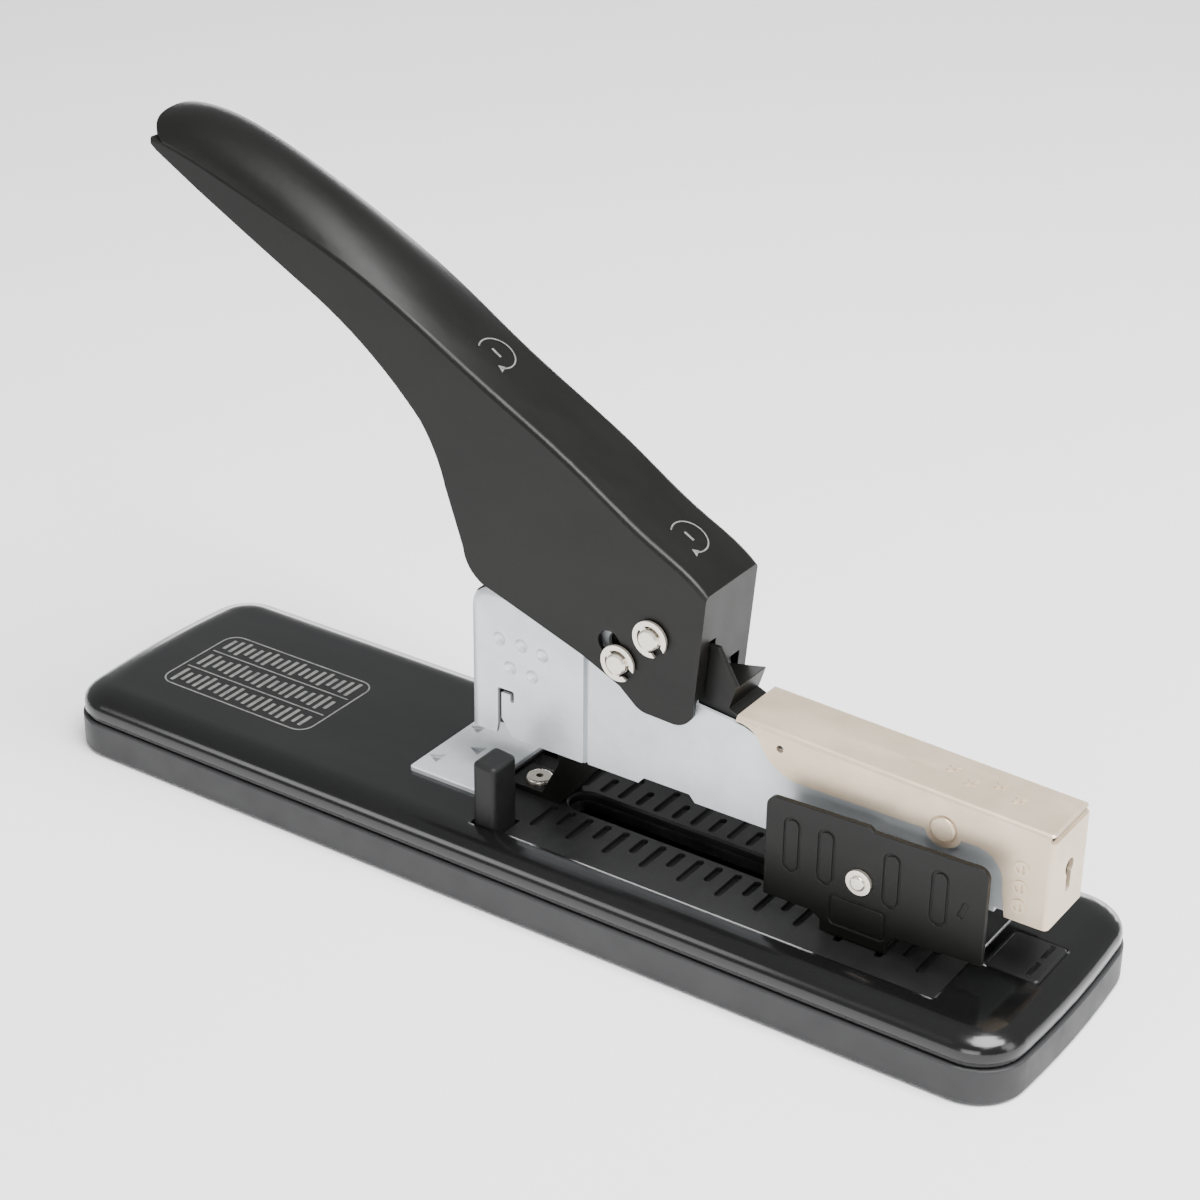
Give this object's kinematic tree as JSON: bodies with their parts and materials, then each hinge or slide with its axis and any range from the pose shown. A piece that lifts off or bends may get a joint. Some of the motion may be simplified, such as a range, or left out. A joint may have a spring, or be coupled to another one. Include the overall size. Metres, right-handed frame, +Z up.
{
  "type": "heavy-duty desktop stapler",
  "caption": "Desktop heavy-duty stapler: weighted base with scale insert, sprung tilting magazine body, long lever handle driving a blade, and a sliding paper guide.",
  "frame": {"origin": "on the table under the middle of the base footprint", "axes": "+X towards the nose, +Y to the side, +Z up"},
  "size_m": [0.262, 0.0676, 0.1608],
  "materials": {
    "skirt": "fine moulded grain, dark grey",
    "rubber": "matte black rubber",
    "black_gloss": "glossy black stoving enamel",
    "black_semi": "semi-gloss black enamel",
    "black_plastic": "matte black moulding",
    "zinc": "bright zinc-plated sheet",
    "nickel": "satin nickel, warm",
    "pin": "nickel-plated turned steel",
    "steel": "bare steel",
    "spring": "spring steel wire",
    "black_steel": "blackened steel",
    "staple": "galvanised staple wire"
  },
  "bodies": {
    "base": {"base_skirt": "skirt", "base_pad": "rubber", "base_screws": "steel", "base_shell": "black_gloss", "base_plate": "steel", "base_insert": "black_plastic", "anvil": "black_steel", "floor_plate": "zinc", "hinge_bracket": "black_semi", "bracket_rivet": "pin"},
    "button": {"release_button": "black_plastic", "button_spring": "spring"},
    "guide": {"paper_guide": "black_semi", "guide_pins": "pin", "guide_shoe": "steel"},
    "body": {"body_channel": "zinc", "rear_wrap": "zinc", "nose_cover": "nickel", "cover_rivets": "nickel", "magazine_core": "black_semi", "staple_strip": "staple", "rod_holders": "steel", "pusher_rod": "steel", "hinge_pin": "pin", "spring_pin": "steel", "body_spring": "spring", "handle_pin": "pin", "handle_pin_clips": "pin", "pivot_washers": "steel", "pusher_spring": "spring", "handle_spring": "spring"},
    "pusher": {"pusher": "black_plastic"},
    "handle": {"handle_shell": "black_semi"},
    "arm": {"drive_arm": "black_semi", "drive_pin": "pin", "drive_pin_clips": "pin"},
    "driver": {"driver_blade": "steel"}
  },
  "joints": [
    {"name": "body_tilt", "type": "hinge", "parent": "base", "child": "body", "pos_m": [0.006, 0, 0.042], "axis": [0, 1, 0], "range_deg": [0, 6.2], "stiffness_Nm_per_rad": 2, "springref_deg": -17.19, "deforming": ["body_spring"]},
    {"name": "handle_press", "type": "hinge", "parent": "body", "child": "handle", "pos_m": [0.0292, 0, 0.0695], "axis": [0, -1, 0], "range_deg": [0, 28], "stiffness_Nm_per_rad": 0.6, "springref_deg": -34.38, "deforming": ["handle_spring"]},
    {"name": "arm_drive", "type": "hinge", "parent": "body", "child": "arm", "pos_m": [0.006, 0, 0.042], "axis": [0, 1, 0], "range_deg": [0, 4.75]},
    {"name": "driver_drop", "type": "slide", "parent": "body", "child": "driver", "axis": [0, 0, -1], "range_m": [0, 0.0098]},
    {"name": "pusher_slide", "type": "slide", "parent": "body", "child": "pusher", "axis": [-1, 0, 0], "range_m": [0, 0.034], "stiffness_N_per_m": 100, "springref_m": -0.02, "deforming": ["pusher_spring"]},
    {"name": "guide_slide", "type": "slide", "parent": "base", "child": "guide", "axis": [-1, 0, 0], "range_m": [0, 0.045]},
    {"name": "button_press", "type": "slide", "parent": "base", "child": "button", "axis": [0, 0, -1], "range_m": [0, 0.0025], "stiffness_N_per_m": 500, "springref_m": -0.002, "deforming": ["button_spring"]}
  ],
  "couplings": [
    {"joint": "arm_drive", "follows": "handle_press", "ratio": 0.16786},
    {"joint": "driver_drop", "follows": "handle_press", "m_per_rad": 0.01974}
  ]
}
